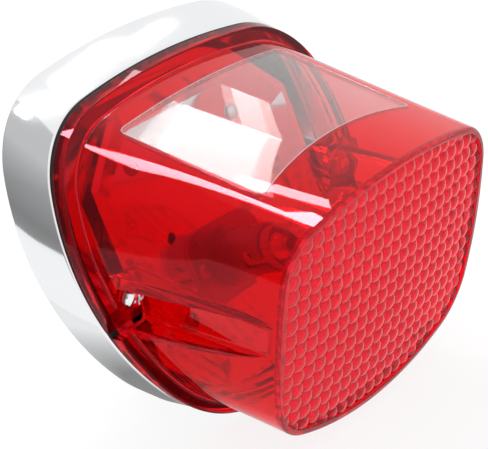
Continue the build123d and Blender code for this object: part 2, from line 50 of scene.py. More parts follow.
camera_back = Vector((sin(camera_turn) * cos(camera_height), -cos(camera_turn) * cos(camera_height),
                      sin(camera_height)))
camera_level = Vector((cos(camera_turn), sin(camera_turn), 0))
camera_upright = camera_back.cross(camera_level)
camera_right = camera_level * cos(camera_roll) + camera_upright * sin(camera_roll)
camera_up = camera_upright * cos(camera_roll) - camera_level * sin(camera_roll)
camera = bpy.data.objects.new("camera", bpy.data.cameras.new("camera"))
camera.data.sensor_width = 36.0
camera.data.lens = 124.71
camera.data.clip_start = 0.01
camera.data.clip_end = 20.0
camera.matrix_world = Matrix.Translation(camera_aim + camera_back * camera_distance) @ Matrix(
    (camera_right, camera_up, camera_back)).transposed().to_4x4()
bpy.context.scene.collection.objects.link(camera)
bpy.context.scene.camera = camera

# ---------------------------------------------------------------- mounting pad
# A thin sheet of black EPDM rubber, die-cut to the housing's outline, that lies between the
# housing and the fender. It is cut away round the connector and pierced for the two studs.


def linear(code):
    """An sRGB hex colour as linear red, green, blue and alpha."""
    shares = [int(code[start:start + 2], 16) / 255 for start in (0, 2, 4)]
    return [s / 12.92 if s <= 0.04045 else ((s + 0.055) / 1.055) ** 2.4 for s in shares] + [1.0]


def add_node(tree, kind, settings, inputs):
    """Adds a node, sets it up, and feeds its inputs from values or from other nodes' outputs."""
    made = tree.nodes.new(kind)
    for name, value in settings.items():
        setattr(made, name, value)
    for name, value in inputs.items():
        if isinstance(value, bpy.types.NodeSocket):
            tree.links.new(value, made.inputs[name])
        else:
            made.inputs[name].default_value = value
    return made


def make_finish(name, colours, grain, roughness, relief, **constants):
    """Material whose colour, roughness and relief vary together over a grain, in millimetres."""
    material = bpy.data.materials.new(name)
    material.use_nodes = True
    tree = material.node_tree
    place = add_node(tree, "ShaderNodeTexCoord", {}, {})
    grains = add_node(tree, "ShaderNodeTexNoise", {}, {
        "Vector": place.outputs["Object"], "Scale": 1000 / grain, "Detail": 4.0, "Roughness": 0.6})
    shade = add_node(tree, "ShaderNodeMix", {"data_type": "RGBA"}, {
        0: grains.outputs[0], 6: linear(colours[0]), 7: linear(colours[1])})
    gloss = add_node(tree, "ShaderNodeMapRange", {}, {
        "Value": grains.outputs[0], "From Min": 0.3, "From Max": 0.7,
        "To Min": roughness[0], "To Max": roughness[1]})
    bump = add_node(tree, "ShaderNodeBump", {}, {
        "Height": grains.outputs[0], "Strength": 1.0, "Distance": relief / 1000})
    shader = tree.nodes["Principled BSDF"]
    tree.links.new(shade.outputs[2], shader.inputs["Base Color"])
    tree.links.new(gloss.outputs[0], shader.inputs["Roughness"])
    tree.links.new(bump.outputs[0], shader.inputs["Normal"])
    for socket, value in constants.items():
        shader.inputs[socket.replace("_", " ")].default_value = value
    return material


def dress(names, material):
    """Gives these CAD nodes a finish."""
    for name in names:
        nodes[name].material_slots[0].material = material


# pressed EPDM sheet: matt black with a fine cloudy bloom
pad_rubber = make_finish("epdm_rubber_sheet", ("161617", "2a2a2b"), 0.9, (0.72, 0.95), 0.12)
dress(["mounting_pad"], pad_rubber)

# ---------------------------------------------------------------- housing
# A deep drawn steel or die-cast shell in bright decorative chrome, with a rolled front rim. It
# leans with the fender; the lens is drawn out of it to the rear, so every outline is carried
# along Y. All lengths in this and the lens sections are millimetres.
lean = radians(31.7)
lean_cos, lean_sin = cos(lean), sin(lean)
forward = np.array((0, -lean_cos, lean_sin))
base_size = {"width": 134.8, "top": 58.1, "bottom": -58.1, "crown": 248.0, "side": 78.0,
             "side_height": 8.2, "keel": 93.5, "corners": (33.5, 42.0)}
floor_back, floor_front, rim = 1.8, 4.3, 15.6
housing_draft, housing_bulge, housing_wall = 2.4, 0.6, 2.4
arc_steps = 26


def outline(size, inset):
    """Shield outline of four shallow arcs and four corners, inset, with matching points on each."""
    side_x = size["width"] / 2 - size["side"]
    top = np.array((0, size["top"] - size["crown"]))
    low = np.array((0, size["bottom"] + size["keel"]))
    left = np.array((-side_x, size["side_height"]))
    right = np.array((side_x, size["side_height"]))

    def corner(a, a_radius, b, b_radius, radius):
        """Middle of the arc that rounds the right-hand corner between two of the outline's arcs."""
        one, two = a_radius - radius, b_radius - radius
        gap = np.linalg.norm(b - a)
        along = (one ** 2 - two ** 2 + gap ** 2) / (2 * gap)
        run = (b - a) / gap
        aside = np.array((-run[1], run[0])) * np.sqrt(one ** 2 - along ** 2)
        return a + run * along + aside * np.sign(aside[0])

    upper, lower = size["corners"]
    top_right = corner(right, size["side"], top, size["crown"], upper)
    low_right = corner(right, size["side"], low, size["keel"], lower)
    top_left, low_left = top_right * (-1, 1), low_right * (-1, 1)
    arcs = [(right, size["side"], low_right, top_right), (top_right, upper, right, top),
            (top, size["crown"], top_right, top_left), (top_left, upper, top, left),
            (left, size["side"], top_left, low_left), (low_left, lower, left, low),
            (low, size["keel"], low_left, low_right), (low_right, lower, low, right)]
    big = {id(right), id(top), id(left), id(low)}
    points = []
    for middle, radius, first, last in arcs:
        if id(middle) in big:
            start = np.arctan2(*(first - middle)[::-1])
            end = np.arctan2(*(last - middle)[::-1])
        else:
            start = np.arctan2(*(middle - first)[::-1])
            end = np.arctan2(*(middle - last)[::-1])
        end += 2 * pi * (end < start)
        turns = start + (end - start) * np.arange(arc_steps) / arc_steps
        points.append(middle + (radius - inset) * np.stack((np.cos(turns), np.sin(turns)), 1))
    return np.concatenate(points)


def base_ring(height, inset):
    """Ring of the housing's outline at this height over the fender."""
    flat = outline(base_size, inset)
    return np.stack((flat[:, 0], flat[:, 1] * lean_sin - height / lean_cos, flat[:, 1] * lean_cos), 1)


def unit(vectors):
    return vectors / np.linalg.norm(vectors, axis=-1, keepdims=True)


def rounded(profile, steps):
    """Rings along a profile of (ring, radius) corners; a corner with a radius becomes an arc."""
    rings = []
    for place, (ring, radius) in enumerate(profile):
        if not radius:
            rings.append(ring)
            continue
        before = unit(profile[place - 1][0] - ring)
        after = unit(profile[(place + 1) % len(profile)][0] - ring)
        half = np.arccos(np.clip((before * after).sum(1, keepdims=True), -1, 1)) / 2
        middle = ring + unit(before + after) * radius / np.sin(half)
        start = ring + before * radius / np.tan(half) - middle
        end = ring + after * radius / np.tan(half) - middle
        turn = pi - 2 * half
        for share in np.arange(steps + 1) / steps:
            arm = np.sin((1 - share) * turn) * start + np.sin(share * turn) * end
            rings.append(middle + arm / np.sin(turn))
    return rings


def between(first, last, count):
    """Evenly spaced rings between two, without the two themselves."""
    return [first + (last - first) * step / (count + 1) for step in range(1, count + 1)]


def skin(rings, ends="capped"):
    """Closed mesh over rings of points. Its ends are capped, or joined to each other."""
    count, around = len(rings), len(rings[0])
    index = np.arange(count * around).reshape(count, around)
    faces = []
    for row in range(count - (ends == "capped")):
        here, there = index[row], index[(row + 1) % count]
        for step in range(around):
            beside = (step + 1) % around
            faces.append((here[step], here[beside], there[beside], there[step]))
    if ends == "capped":
        faces.append(tuple(index[0][::-1]))
        faces.append(tuple(index[-1]))
    return solid(np.concatenate(rings), faces)


def solid(points, faces):
    """New object with this mesh, its faces turned outwards."""
    mesh = bpy.data.meshes.new("solid")
    mesh.from_pydata([tuple(map(float, p)) for p in points], [], [tuple(map(int, f)) for f in faces])
    build = bmesh.new()
    build.from_mesh(mesh)
    bmesh.ops.remove_doubles(build, verts=build.verts, dist=1e-4)
    bmesh.ops.recalc_face_normals(build, faces=build.faces)
    build.to_mesh(mesh)
    build.free()
    made = bpy.data.objects.new("solid", mesh)
    bpy.context.scene.collection.objects.link(made)
    return made


def combine(work, operation, tools):
    """Adds tools to work, takes them from it, or keeps what they share; the tools are used up."""
    for tool in tools:
        change = work.modifiers.new("change", "BOOLEAN")
        change.operation = operation
        change.solver = "EXACT"
        change.object = tool
        depsgraph = bpy.context.evaluated_depsgraph_get()
        result = bpy.data.meshes.new_from_object(work.evaluated_get(depsgraph))
        work.modifiers.clear()
        work.data = result
        bpy.data.objects.remove(tool)
    return work


def rod(base, axis, profile, around=48):
    """Turned solid: profile holds (distance along the axis, radius) from one end to the other."""
    axis = unit(np.array(axis, float))
    side = unit(np.cross(axis, (0.31, 0.17, 0.93)))
    other = np.cross(axis, side)
    turns = np.arange(around) * 2 * pi / around
    circle = np.cos(turns)[:, None] * side + np.sin(turns)[:, None] * other
    return skin([np.array(base) + axis * along + circle * radius for along, radius in profile])


def finish_piece(piece, name, body, materials, stands_for, crease=35):
    """Turns a solid in millimetres into a finished piece that rides on a body."""
    piece.name = name
    piece.data.name = name
    piece.data.transform(Matrix.Scale(0.001, 4))
    parts = [min(face.material_index, len(materials) - 1) for face in piece.data.polygons]
    piece.data.materials.clear()
    for material in materials:
        piece.data.materials.append(material)
    for face, part in zip(piece.data.polygons, parts):
        face.use_smooth = True
        face.material_index = part
    piece.data.set_sharp_from_angle(angle=radians(crease))
    even = piece.modifiers.new("even", "WEIGHTED_NORMAL")
    even.keep_sharp = True
    even.weight = 100
    depsgraph = bpy.context.evaluated_depsgraph_get()
    shaded = bpy.data.meshes.new_from_object(piece.evaluated_get(depsgraph))
    piece.modifiers.clear()
    piece.data = shaded
    piece.data.name = name
    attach(piece, body)
    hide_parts(*stands_for)
    return piece


def square(x, y, height):
    """Point over the leaning face, carried square to it."""
    return np.array((x, y * lean_sin, y * lean_cos)) + forward * height


# the rolled shell, from the back of its floor, over the rim, to the inside of its floor
back_round, rim_round, lip_round, floor_round = 0.7, 0.9, 0.8, 1.2
flat_margin, bulge_height = 12.0, 6.9
shell = skin(rounded([(base_ring(floor_back, flat_margin), 0),
                      (base_ring(floor_back, 0), back_round),
                      (base_ring(floor_back + bulge_height, housing_bulge), 0),
                      (base_ring(rim, housing_draft), rim_round),
                      (base_ring(rim, housing_draft + housing_wall), lip_round),
                      (base_ring(floor_front, housing_wall), floor_round),
                      (base_ring(floor_front, housing_wall + flat_margin), 0)], 6))

# bosses for the two lens screws, drawn out along Y, and standoffs for the reflector
screw_x, screw_height = 52.0, -1.0
screw_sides = (-screw_x, screw_x)
boss_root, boss_top, boss_radius, boss_chamfer = 2.0, 22.2, 4.5, 0.4
boss_profile = [(0, boss_radius), (boss_top - boss_root - boss_chamfer, boss_radius),
                (boss_top - boss_root, boss_radius - boss_chamfer)]
bosses = [rod((x, -boss_root, screw_height), (0, -1, 0), boss_profile) for x in screw_sides]
standoff_across, standoff_up, standoff_middle = 48.0, 50.0, -8.0
standoff_root, standoff_length, standoff_radius = 3.3, 6.1, 3.25
standoff_places = [(x, standoff_middle + y) for x in (-standoff_across / 2, standoff_across / 2)
                   for y in (-standoff_up / 2, standoff_up / 2)]
standoff_profile = [(0, standoff_radius), (standoff_length, standoff_radius)]
standoffs = [rod(square(x, y, standoff_root), forward, standoff_profile, 32) for x, y in standoff_places]
combine(shell, "UNION", bosses + standoffs)

# what stands through the back is trimmed off, and everything is bored
through = 7.0
shoulder = 0.0001
trim_depth, trim_margin = 12.0, 20.0
trim = skin([base_ring(floor_back - trim_depth, -trim_margin), base_ring(floor_back, -trim_margin)])
insert_radius, insert_depth, screw_hole_radius, screw_hole_depth = 3.0, 8.0, 2.35, 17.9
bore_profile = [(-1, insert_radius), (insert_depth, insert_radius),
                (insert_depth + shoulder, screw_hole_radius), (screw_hole_depth, screw_hole_radius)]
bores = [rod((x, -boss_top, screw_height), (0, 1, 0), bore_profile, 40) for x in screw_sides]
stud_spacing, stud_hole_radius = 60.0, 3.475
stud_holes = [rod(square(x, 0, 0), forward, [(0, stud_hole_radius), (through, stud_hole_radius)], 40)
              for x in (-stud_spacing / 2, stud_spacing / 2)]
pilot_root, pilot_radius = 4.8, 1.3
pilot_holes = [rod(square(x, y, pilot_root), forward, [(0, pilot_radius), (through, pilot_radius)], 24)
               for x, y in standoff_places]
plug_height, plug_x, plug_y = 16.0, 7.65, 4.15
quarters = ((-1, -1), (1, -1), (1, 1), (-1, 1))
plug_hole = skin([np.array([square(x * plug_x, plug_height + y * plug_y, level) for x, y in quarters])
                  for level in (0, through)])
combine(shell, "DIFFERENCE", [trim] + bores + stud_holes + pilot_holes + [plug_hole])

# decorative chrome plate: a bright, slightly cool mirror with long soft ripples and faint wipe haze
chrome = make_finish("decorative_chrome_plate", ("e9eaec", "f1f2f3"), 40.0, (0.07, 0.11), 0.001,
                     Metallic=1.0)
finish_piece(shell, "housing_shell", "base", [chrome], ["housing"])

# ---------------------------------------------------------------- lens gasket
# A closed-cell EPDM foam ring, laid in the step between the housing's rim and the lens flange and
# squeezed by the two lens screws, so that its edges bulge a little.
gasket_front = 16.6
gasket_out, gasket_in, gasket_bulge = 2.9, 6.0, 0.3
gasket_corners = ((rim, gasket_out), (gasket_front, gasket_out), (gasket_front, gasket_in), (rim, gasket_in))
gasket = skin(rounded([(base_ring(*corner), gasket_bulge) for corner in gasket_corners], 4), "joined")
# closed-cell foam: matt near-black with fine pores
foam = make_finish("epdm_foam", ("0e0e0f", "232324"), 0.35, (0.8, 1.0), 0.1)
finish_piece(gasket, "gasket_ring", "base", [foam], ["lens_gasket"])

# ---------------------------------------------------------------- lens
# Injection-moulded red acrylic: a leaning flange, a body drawn to an upright domed face, a raised
# bezel round a waffle of small pillow optics, and a screwdriver channel down each side.
face_size = {"width": 102.0, "top": 42.0, "bottom": -39.0, "crown": 153.5, "side": 299.0,
             "side_height": 13.0, "keel": 108.5, "corners": (16.0, 18.4)}
flange_front = 20.0
flange_out, flange_draft = 2.6, 0.3
body_inset, lens_wall = 7.2, 2.4
face_depth, face_reach, face_dome, face_middle = 79.1, 82.1, 575.0, 1.5
dome_centre = np.array((0, face_dome - face_depth, face_middle))
face_wall, bezel_width = 2.8, 1.8


def face_ring(depth, inset):
    """Ring of the face's outline, upright, this far out along the moulding direction."""
    flat = outline(face_size, inset)
    return np.stack((flat[:, 0], np.full(len(flat), -depth), flat[:, 1]), 1)


def on_dome(ring, depth_below):
    """The ring carried along Y onto the domed face, or onto a dome this far below it."""
    carried = ring.copy()
    aside = ((ring[:, 0] ** 2) + (ring[:, 2] - face_middle) ** 2)
    carried[:, 1] = dome_centre[1] - np.sqrt((face_dome - depth_below) ** 2 - aside)
    return carried


def wall_to_dome(foot, top, depth_below):
    """Where the straight walls between two rings meet the dome."""
    run = top - foot
    start = foot - dome_centre
    a = (run ** 2).sum(1)
    b = 2 * (run * start).sum(1)
    c = (start ** 2).sum(1) - (face_dome - depth_below) ** 2
    share = (-b + np.sqrt(b * b - 4 * a * c)) / (2 * a)
    return foot + run * share[:, None]


def wall_at(foot, top, height):
    """Where the walls stand this high over the leaning face."""
    low, high = foot @ forward, top @ forward
    return foot + (top - foot) * ((height - low) / (high - low))[:, None]


# the solid outside of the lens: flange, drawn walls, bezel, and a recess that the optics fill
wall_foot, wall_top = base_ring(gasket_front, body_inset), face_ring(face_reach, 0)
wall_root = wall_at(wall_foot, wall_top, flange_front)
wall_end = wall_to_dome(wall_foot, wall_top, 0)
foot_margin, recess_floor = 6.0, 75.0
seal_round, flange_round, root_round, face_round, bezel_round = 0.3, 0.7, 1.2, 1.2, 0.3
profile = [(base_ring(gasket_front, body_inset + foot_margin), 0),
           (base_ring(gasket_front, flange_out), seal_round),
           (base_ring(flange_front, flange_out + flange_draft), flange_round),
           (wall_root, root_round)]
profile += [(ring, 0) for ring in between(wall_root, wall_end, 12)]
profile += [(wall_end, face_round),
            (on_dome(face_ring(0, bezel_width), 0), bezel_round),
            (face_ring(recess_floor, bezel_width), 0)]
lens_body = skin(rounded(profile, 6))

# the optics: square pillows at a 3/16 inch pitch, each a low ball cap, carried on the domed face
pillow_pitch = 4.7625
pillow_radius = 4.8
pillow_drop = 0.25
pillow_steps = 8
pillow_across, pillow_up = 22, 18
waffle_back, waffle_front = 70.0, 90.0


def start_tree(name, inputs):
    """New geometry node tree with these named inputs, and the outputs that carry them inside it."""
    made = bpy.data.node_groups.new(name, "GeometryNodeTree")
    for label, kind in inputs.items():
        made.interface.new_socket(label, in_out="INPUT", socket_type="NodeSocket" + kind)
    made.interface.new_socket("Geometry", in_out="OUTPUT", socket_type="NodeSocketGeometry")
    return made, add_node(made, "NodeGroupInput", {}, {}).outputs


def end_tree(tree, geometry, material):
    """Makes the tree's instances real, gives them their material and puts them out."""
    real = add_node(tree, "GeometryNodeRealizeInstances", {}, {0: geometry})
    dressed = add_node(tree, "GeometryNodeSetMaterial", {}, {
        "Geometry": real.outputs[0], "Material": material})
    add_node(tree, "NodeGroupOutput", {}, {0: dressed.outputs[0]})


def grown(tree, values):
    """Plain object made by a geometry node tree with these values in its inputs."""
    holder = bpy.data.objects.new("grown", bpy.data.meshes.new("grown"))
    bpy.context.scene.collection.objects.link(holder)
    grow = holder.modifiers.new("grow", "NODES")
    grow.node_group = tree
    for socket in tree.interface.items_tree:
        if socket.name in values:
            grow[socket.identifier] = values[socket.name]
    depsgraph = bpy.context.evaluated_depsgraph_get()
    result = bpy.data.meshes.new_from_object(holder.evaluated_get(depsgraph))
    holder.modifiers.clear()
    holder.data = result
    return holder


# moulded acrylic with optics behind it: clear red, but pinker and milkier than the rest of the lens, with a
# pinker tinted sheen; this pinker veil is a painted sheen that stands in for the light the pillows catch
optic_acrylic_painted_sheen = make_finish("red_acrylic_optics_painted_sheen", ("f61426", "fa182c"), 30.0, (0.03, 0.06), 0.01,
                            IOR=1.49, Transmission_Weight=0.86, Specular_Tint=(1, 0.5, 0.65, 1))
tree, given = start_tree("pillow_waffle", {
    "Pitch": "Float", "Pillow Radius": "Float", "Dome Radius": "Float", "Dome Middle": "Float",
    "Back": "Float"})


def reckon(operation, *values):
    """Result of a sum on values or outputs, in the tree that is being built."""
    return add_node(tree, "ShaderNodeMath", {"operation": operation}, dict(enumerate(values))).outputs[0]


size = add_node(tree, "ShaderNodeCombineXYZ", {}, {
    0: reckon("MULTIPLY", given["Pitch"], pillow_across), 1: reckon("MULTIPLY", given["Pitch"], pillow_up),
    2: 2.0})
block = add_node(tree, "GeometryNodeMeshCube", {}, {
    "Size": size.outputs[0], "Vertices X": pillow_across * pillow_steps + 1,
    "Vertices Y": pillow_up * pillow_steps + 1, "Vertices Z": 2})
spot = add_node(tree, "ShaderNodeSeparateXYZ", {}, {
    0: add_node(tree, "GeometryNodeInputPosition", {}, {}).outputs[0]}).outputs
offsets = []
for axis in (0, 1):
    cell = reckon("DIVIDE", spot[axis], given["Pitch"])
    beyond = reckon("SUBTRACT", cell, reckon("ADD", reckon("FLOOR", reckon("ADD", cell, 0.0001)), 0.5))
    offsets.append(reckon("MULTIPLY", beyond, given["Pitch"]))


def cap_height(radius, across, up):
    """How far a ball of this radius stands over its middle, this far across and up from it."""
    aside = reckon("ADD", reckon("MULTIPLY", across, across), reckon("MULTIPLY", up, up))
    return reckon("SQRT", reckon("SUBTRACT", reckon("MULTIPLY", radius, radius), aside))


sag = reckon("SUBTRACT", given["Pillow Radius"], cap_height(given["Pillow Radius"], *offsets))
dome = reckon("SUBTRACT", given["Dome Middle"], cap_height(given["Dome Radius"], spot[0], spot[1]))
is_front = reckon("GREATER_THAN", spot[2], 0.0)
depth = reckon("ADD", reckon("MULTIPLY", is_front, reckon("ADD", dome, sag)), reckon(
    "MULTIPLY", reckon("SUBTRACT", 1.0, is_front), reckon("MULTIPLY", given["Back"], -1.0)))
column_shift, row_shift = -0.4, face_middle - 0.2
where = add_node(tree, "ShaderNodeCombineXYZ", {}, {
    0: reckon("ADD", spot[0], column_shift), 1: depth, 2: reckon("ADD", spot[1], row_shift)})
moved = add_node(tree, "GeometryNodeSetPosition", {}, {
    0: block.outputs[0], "Position": where.outputs[0]})
end_tree(tree, moved.outputs[0], optic_acrylic_painted_sheen)
waffle = grown(tree, {"Pitch": pillow_pitch, "Pillow Radius": pillow_radius, "Back": waffle_back,
                      "Dome Radius": face_dome - pillow_drop, "Dome Middle": float(dome_centre[1])})
waffle_edge = bezel_width - 0.1
combine(waffle, "INTERSECT", [skin([face_ring(depth, waffle_edge) for depth in (waffle_back, waffle_front)])])
combine(lens_body, "UNION", [waffle])

# the inside of the lens, which opens past its foot and ends in a plain dome behind the optics
hollow_foot = base_ring(gasket_front, body_inset + lens_wall)
hollow_top = face_ring(face_reach, lens_wall)
hollow_end = wall_to_dome(hollow_foot, hollow_top, face_wall)
past_foot = 0.02
hollow_start = hollow_foot - (hollow_top - hollow_foot) * past_foot
dome_rings = []
for share in (0.93, 0.8, 0.6, 0.4, 0.2, 0.06):
    ring = hollow_end * (share, 1, share) + np.array((0, 0, face_middle * (1 - share)))
    dome_rings.append(on_dome(ring, face_wall))
hollow = skin([hollow_start] + between(hollow_start, hollow_end, 10) + [hollow_end] + dome_rings)

# the screwdriver channels: floor, half width and middle height at the screw seat and at the end
screw_seat, channel_end = 24.9, 73.0
channel_floor, channel_half, channel_middle = (47.5, 52.0), (7.6, 5.55), (-2.6, 5.2)
channel_round, channel_mouth, channel_steps = 2.2, 90.0, 8


def channel(wall, side):
    """Solid that hollows the screwdriver channel out of one side, or a wall's thickness more."""
    rings = []
    for share in np.arange(channel_steps + 1) / channel_steps:
        y = (wall - screw_seat) * (1 - share) - channel_end * share
        floor_x = channel_floor[0] * (1 - share) + channel_floor[1] * share - wall
        half = channel_half[0] * (1 - share) + channel_half[1] * share + wall
        middle = channel_middle[0] * (1 - share) + channel_middle[1] * share
        turn = np.arange(channel_steps + 1) / channel_steps * pi / 2
        radius = channel_round + wall
        low = np.stack((floor_x + radius - radius * np.sin(turn),
                        middle - half + radius - radius * np.cos(turn)), 1)
        high = (low * (1, -1) + (0, 2 * middle))[::-1]
        flat = np.concatenate(([(channel_mouth, middle - half)], low, high,
                               [(channel_mouth, middle + half)]))
        rings.append(np.stack((flat[:, 0] * side, np.full(len(flat), y), flat[:, 1]), 1))
    return skin(rings)


combine(lens_body, "DIFFERENCE", [channel(0, -1), channel(0, 1)])
combine(hollow, "DIFFERENCE", [channel(lens_wall, -1), channel(lens_wall, 1)])
combine(lens_body, "DIFFERENCE", [hollow])
pocket_radius, pocket_depth, hole_length = 4.4, 3.4, 4.4
for x in screw_sides:
    combine(lens_body, "DIFFERENCE", [
        rod((x, -screw_seat, screw_height), (0, -1, 0), [(0, pocket_radius), (pocket_depth, pocket_radius)]),
        rod((x, -screw_seat - 1, screw_height), (0, 1, 0),
            [(0, screw_hole_radius), (hole_length, screw_hole_radius)])])

# ---------------------------------------------------------------- clear window
# A panel of untinted acrylic let into the top of the lens and bonded, which lights the number
# plate. Its sides taper a little, and its front edge bows back.
window_joint = 0.05
window_half, window_taper = 38.0, 1.5
window_back, window_front, window_bow = -6.0, -57.0, 4.0
window_low, window_high = 1.5, 60.0


def window_block(joint):
    """Tall block over the window: tapering sides, eased corners and a front edge that bows back."""
    back_x, front_x = window_half - joint, window_half - window_taper - joint
    back_y, front_y = window_back - joint, window_front + joint
    corner = [(back_x - 2, back_y), (back_x - 0.6, back_y - 0.6), (back_x, back_y - 2),
              (front_x + 0.06, front_y + 2), (front_x - 0.55, front_y + 0.65), (front_x - 2, front_y + 0.22)]
    shares = np.arange(1, 16) / 8 - 1
    bow = [(-front_x * share, front_y + window_bow * (1 - share * share))
           for share in shares if abs(share) < 0.94]
    flat = corner + bow + [(-x, y) for x, y in corner[::-1]]
    block = skin([np.array([(x, y, z) for x, y in flat]) for z in (window_low, window_high)])
    for face in block.data.polygons:
        face.material_index = 1
    return block


# the lens's slots are its own acrylic and the bond; the panel is what the block cuts from it
for number in range(2):
    lens_body.data.materials.append(bpy.data.materials.new("blank"))
window = lens_body.copy()
window.data = lens_body.data.copy()
bpy.context.scene.collection.objects.link(window)
combine(window, "INTERSECT", [window_block(window_joint)])
combine(lens_body, "DIFFERENCE", [window_block(0)])

# injection-moulded acrylic: deep clear red, faint flow lines, and a tinted sheen that keeps it deep
red_acrylic = make_finish("red_acrylic", ("f61220", "fa1422"), 30.0, (0.01, 0.03), 0.004,
                          IOR=1.49, Transmission_Weight=0.94, Specular_Tint=(1, 0.25, 0.33, 1))
# the face and its bezel take the optics' finish, with its painted sheen
for face in lens_body.data.polygons:
    if face.center[1] < -recess_floor and face.normal[1] < -0.3:
        face.material_index = 2
# untinted moulded acrylic: water-clear, with a slight milkiness
clear_acrylic = make_finish("clear_acrylic", ("f6f8f8", "fafbfb"), 30.0, (0.01, 0.03), 0.004,
                            IOR=1.49, Transmission_Weight=0.92)
# cured acrylic cement: a thin milky film in the joint. The pale beads along the joint's edges are painted
# highlight lines.
bond_film = make_finish("bonded_joint", ("fbe4e4", "fff2f2"), 2.0, (0.2, 0.3), 0.01,
                        IOR=1.02, Transmission_Weight=0.8)
# pale beads along the joint's edges: painted highlight lines
edge_highlight_paint = make_finish("painted_edge_highlight", ("ffd9da", "fff0f0"), 2.0, (0.1, 0.2), 0.01,
                     IOR=1.3, Transmission_Weight=0.35)

finish_piece(lens_body, "lens_moulding", "lens", [red_acrylic, bond_film, optic_acrylic_painted_sheen],
             ["lens"], 30)


def joined(first, others):
    """Adds the others' faces to the first object's mesh; the others are used up."""
    whole = bmesh.new()
    for part in [first] + others:
        whole.from_mesh(part.data)
    whole.to_mesh(first.data)
    whole.free()
    for part in others:
        bpy.data.objects.remove(part)
    return first


def beads(panel, radius, around=8):
    """Thin closed pale beads along the edges where the panel's joint meets its faces: painted highlight
    lines.
    """
    mesh = bmesh.new()
    mesh.from_mesh(panel.data)
    bmesh.ops.remove_doubles(mesh, verts=mesh.verts, dist=0.02)
    links = {}
    for border in mesh.edges:
        if len({face.material_index for face in border.link_faces}) == 2:
            for one, two in (border.verts, reversed(border.verts)):
                links.setdefault(one.index, []).append(two.index)
    places = {vert.index: np.array(vert.co) for vert in mesh.verts}
    mesh.free()
    left, made = set(links), []
    while left:
        walk = [left.pop()]
        onward = [place for place in links[walk[-1]] if place in left]
        while onward:
            walk.append(onward[0])
            left.discard(onward[0])
            onward = [place for place in links[walk[-1]] if place in left]
        if len(walk) < 8:
            continue
        path = np.array([places[place] for place in walk])
        along = unit(np.roll(path, -1, 0) - np.roll(path, 1, 0))
        side = unit(np.cross(along, (0.0, 0.0, 1.0)))
        up = np.cross(side, along)
        turns = np.arange(around) * 2 * pi / around
        lines = [path + radius * (cos(turn) * side + sin(turn) * up) for turn in turns]
        made.append(skin([np.array(ring) for ring in zip(*lines)], "joined"))
        for face in made[-1].data.polygons:
            face.material_index = 2
    return made


# the pale beads are painted highlight lines along the joint's edges
joined(window, beads(window, 0.16))
finish_piece(window, "window_panel", "lens", [clear_acrylic, bond_film, edge_highlight_paint],
             ["tag_window"], 30)

# ---------------------------------------------------------------- mounting studs and their washers
# Two 1/4 inch studs with hexagon heads and necked shanks hold the housing and its pad to the
# fender, over plain washers. They are cold-headed steel with rolled threads, zinc plated.

# zinc plate: satin grey with soft, faintly bluish clouds
zinc = make_finish("zinc_plated_steel", ("a9adb1", "c9ccd0"), 2.5, (0.25, 0.42), 0.01, Metallic=1.0)
dress(["mounting_washers"], zinc)

# a thread is a rounded ridge swept along a helix, which stands up along Z from the origin
thread_tree, given = start_tree("rolled_thread", {
    "Pitch": "Float", "Radius": "Float", "Length": "Float", "Ridge": "Float"})
tree = thread_tree
coil = add_node(tree, "GeometryNodeCurveSpiral", {}, {
    "Resolution": 32, "Rotations": reckon("DIVIDE", given["Length"], given["Pitch"]),
    "Start Radius": given["Radius"], "End Radius": given["Radius"], "Height": given["Length"]})
ridge = add_node(tree, "GeometryNodeCurvePrimitiveCircle", {}, {
    "Resolution": 6, "Radius": given["Ridge"]})
swept = add_node(tree, "GeometryNodeCurveToMesh", {}, {
    "Curve": coil.outputs[0], "Profile Curve": ridge.outputs[0], "Fill Caps": True})
end_tree(tree, swept.outputs[0], zinc)

# a grid of one fastener in the leaning face's own plane
grid_tree, given = start_tree("fastener_grid", {
    "Fastener": "Object", "Across": "Float", "Up": "Float", "Columns": "Int", "Rows": "Int"})
tree = grid_tree
spots = add_node(tree, "GeometryNodeMeshGrid", {}, {
    "Size X": given["Across"], "Size Y": given["Up"], "Vertices X": given["Columns"],
    "Vertices Y": given["Rows"]})
source = add_node(tree, "GeometryNodeObjectInfo", {}, {"Object": given["Fastener"]})
placed = add_node(tree, "GeometryNodeInstanceOnPoints", {}, {
    "Points": spots.outputs[0], "Instance": source.outputs["Geometry"]})
end_tree(tree, placed.outputs[0], zinc)
leaning = Matrix(((1, 0, 0, 0), (0, lean_sin, -lean_cos, 0), (0, lean_cos, lean_sin, 0), (0, 0, 0, 1)))


def set_out(fastener, across, up, columns, rows, middle):
    """A grid of one fastener, stood on the leaning face with its middle this far up."""
    grid = grown(grid_tree, {"Fastener": fastener, "Across": across, "Up": up, "Columns": columns,
                             "Rows": rows})
    bpy.data.objects.remove(fastener)
    grid.data.transform(leaning @ Matrix.Translation((0, middle, 0)))
    return grid


def turned(profile):
    """Turned solid that stands along Z: profile holds (height, radius) from one end to the other."""
    return rod((0, 0, 0), (0, 0, 1), profile)


def threaded(body, pitch, radius, ridge_radius, start, length):
    """Adds a rolled thread to a turned body, from this height on."""
    thread = grown(thread_tree, {"Pitch": pitch, "Radius": radius, "Length": length, "Ridge": ridge_radius})
    thread.data.transform(Matrix.Translation((0, 0, start)))
    return joined(body, [thread])


